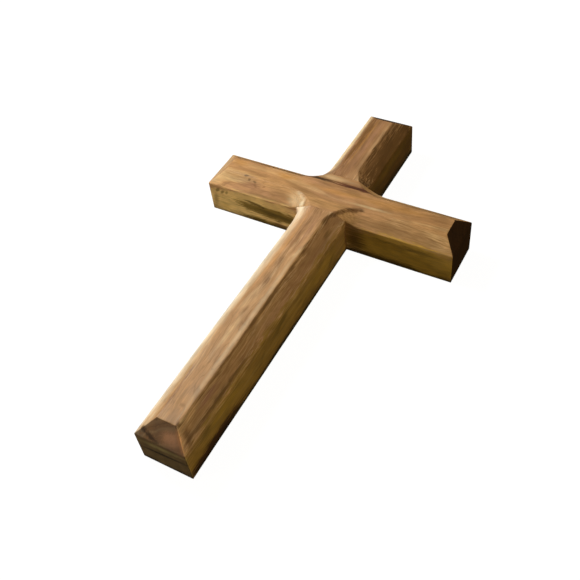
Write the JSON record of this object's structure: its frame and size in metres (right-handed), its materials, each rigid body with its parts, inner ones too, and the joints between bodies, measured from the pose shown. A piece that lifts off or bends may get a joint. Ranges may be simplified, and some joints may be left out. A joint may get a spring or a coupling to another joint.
{
  "type": "olive wood cross",
  "caption": "Solid olive wood cross of square bars halved into each other, with a sloping edge cut all round the front and a flat back that lies on a table or goes against a wall.",
  "frame": {"origin": "middle of the cross's bounding box on its flat back, which lies on the z = 0 plane; the point is on the back of the upright", "axes": "+Z out of the front, +Y along the upright from the foot to the head, +X along the crossbar to the right arm as seen from the front"},
  "size_m": [0.151, 0.25, 0.0265],
  "materials": {
    "upright_wood": "oiled olive wood, satin, grain along the bar, tan to pinkish brown with dark streaks and pale sapwood",
    "crossbar_wood": "oiled olive wood, satin, grain along the bar, orange tan with dark streaks and small knots"
  },
  "bodies": {
    "root": {"upright": "upright_wood", "crossbar": "crossbar_wood"}
  },
  "joints": []
}
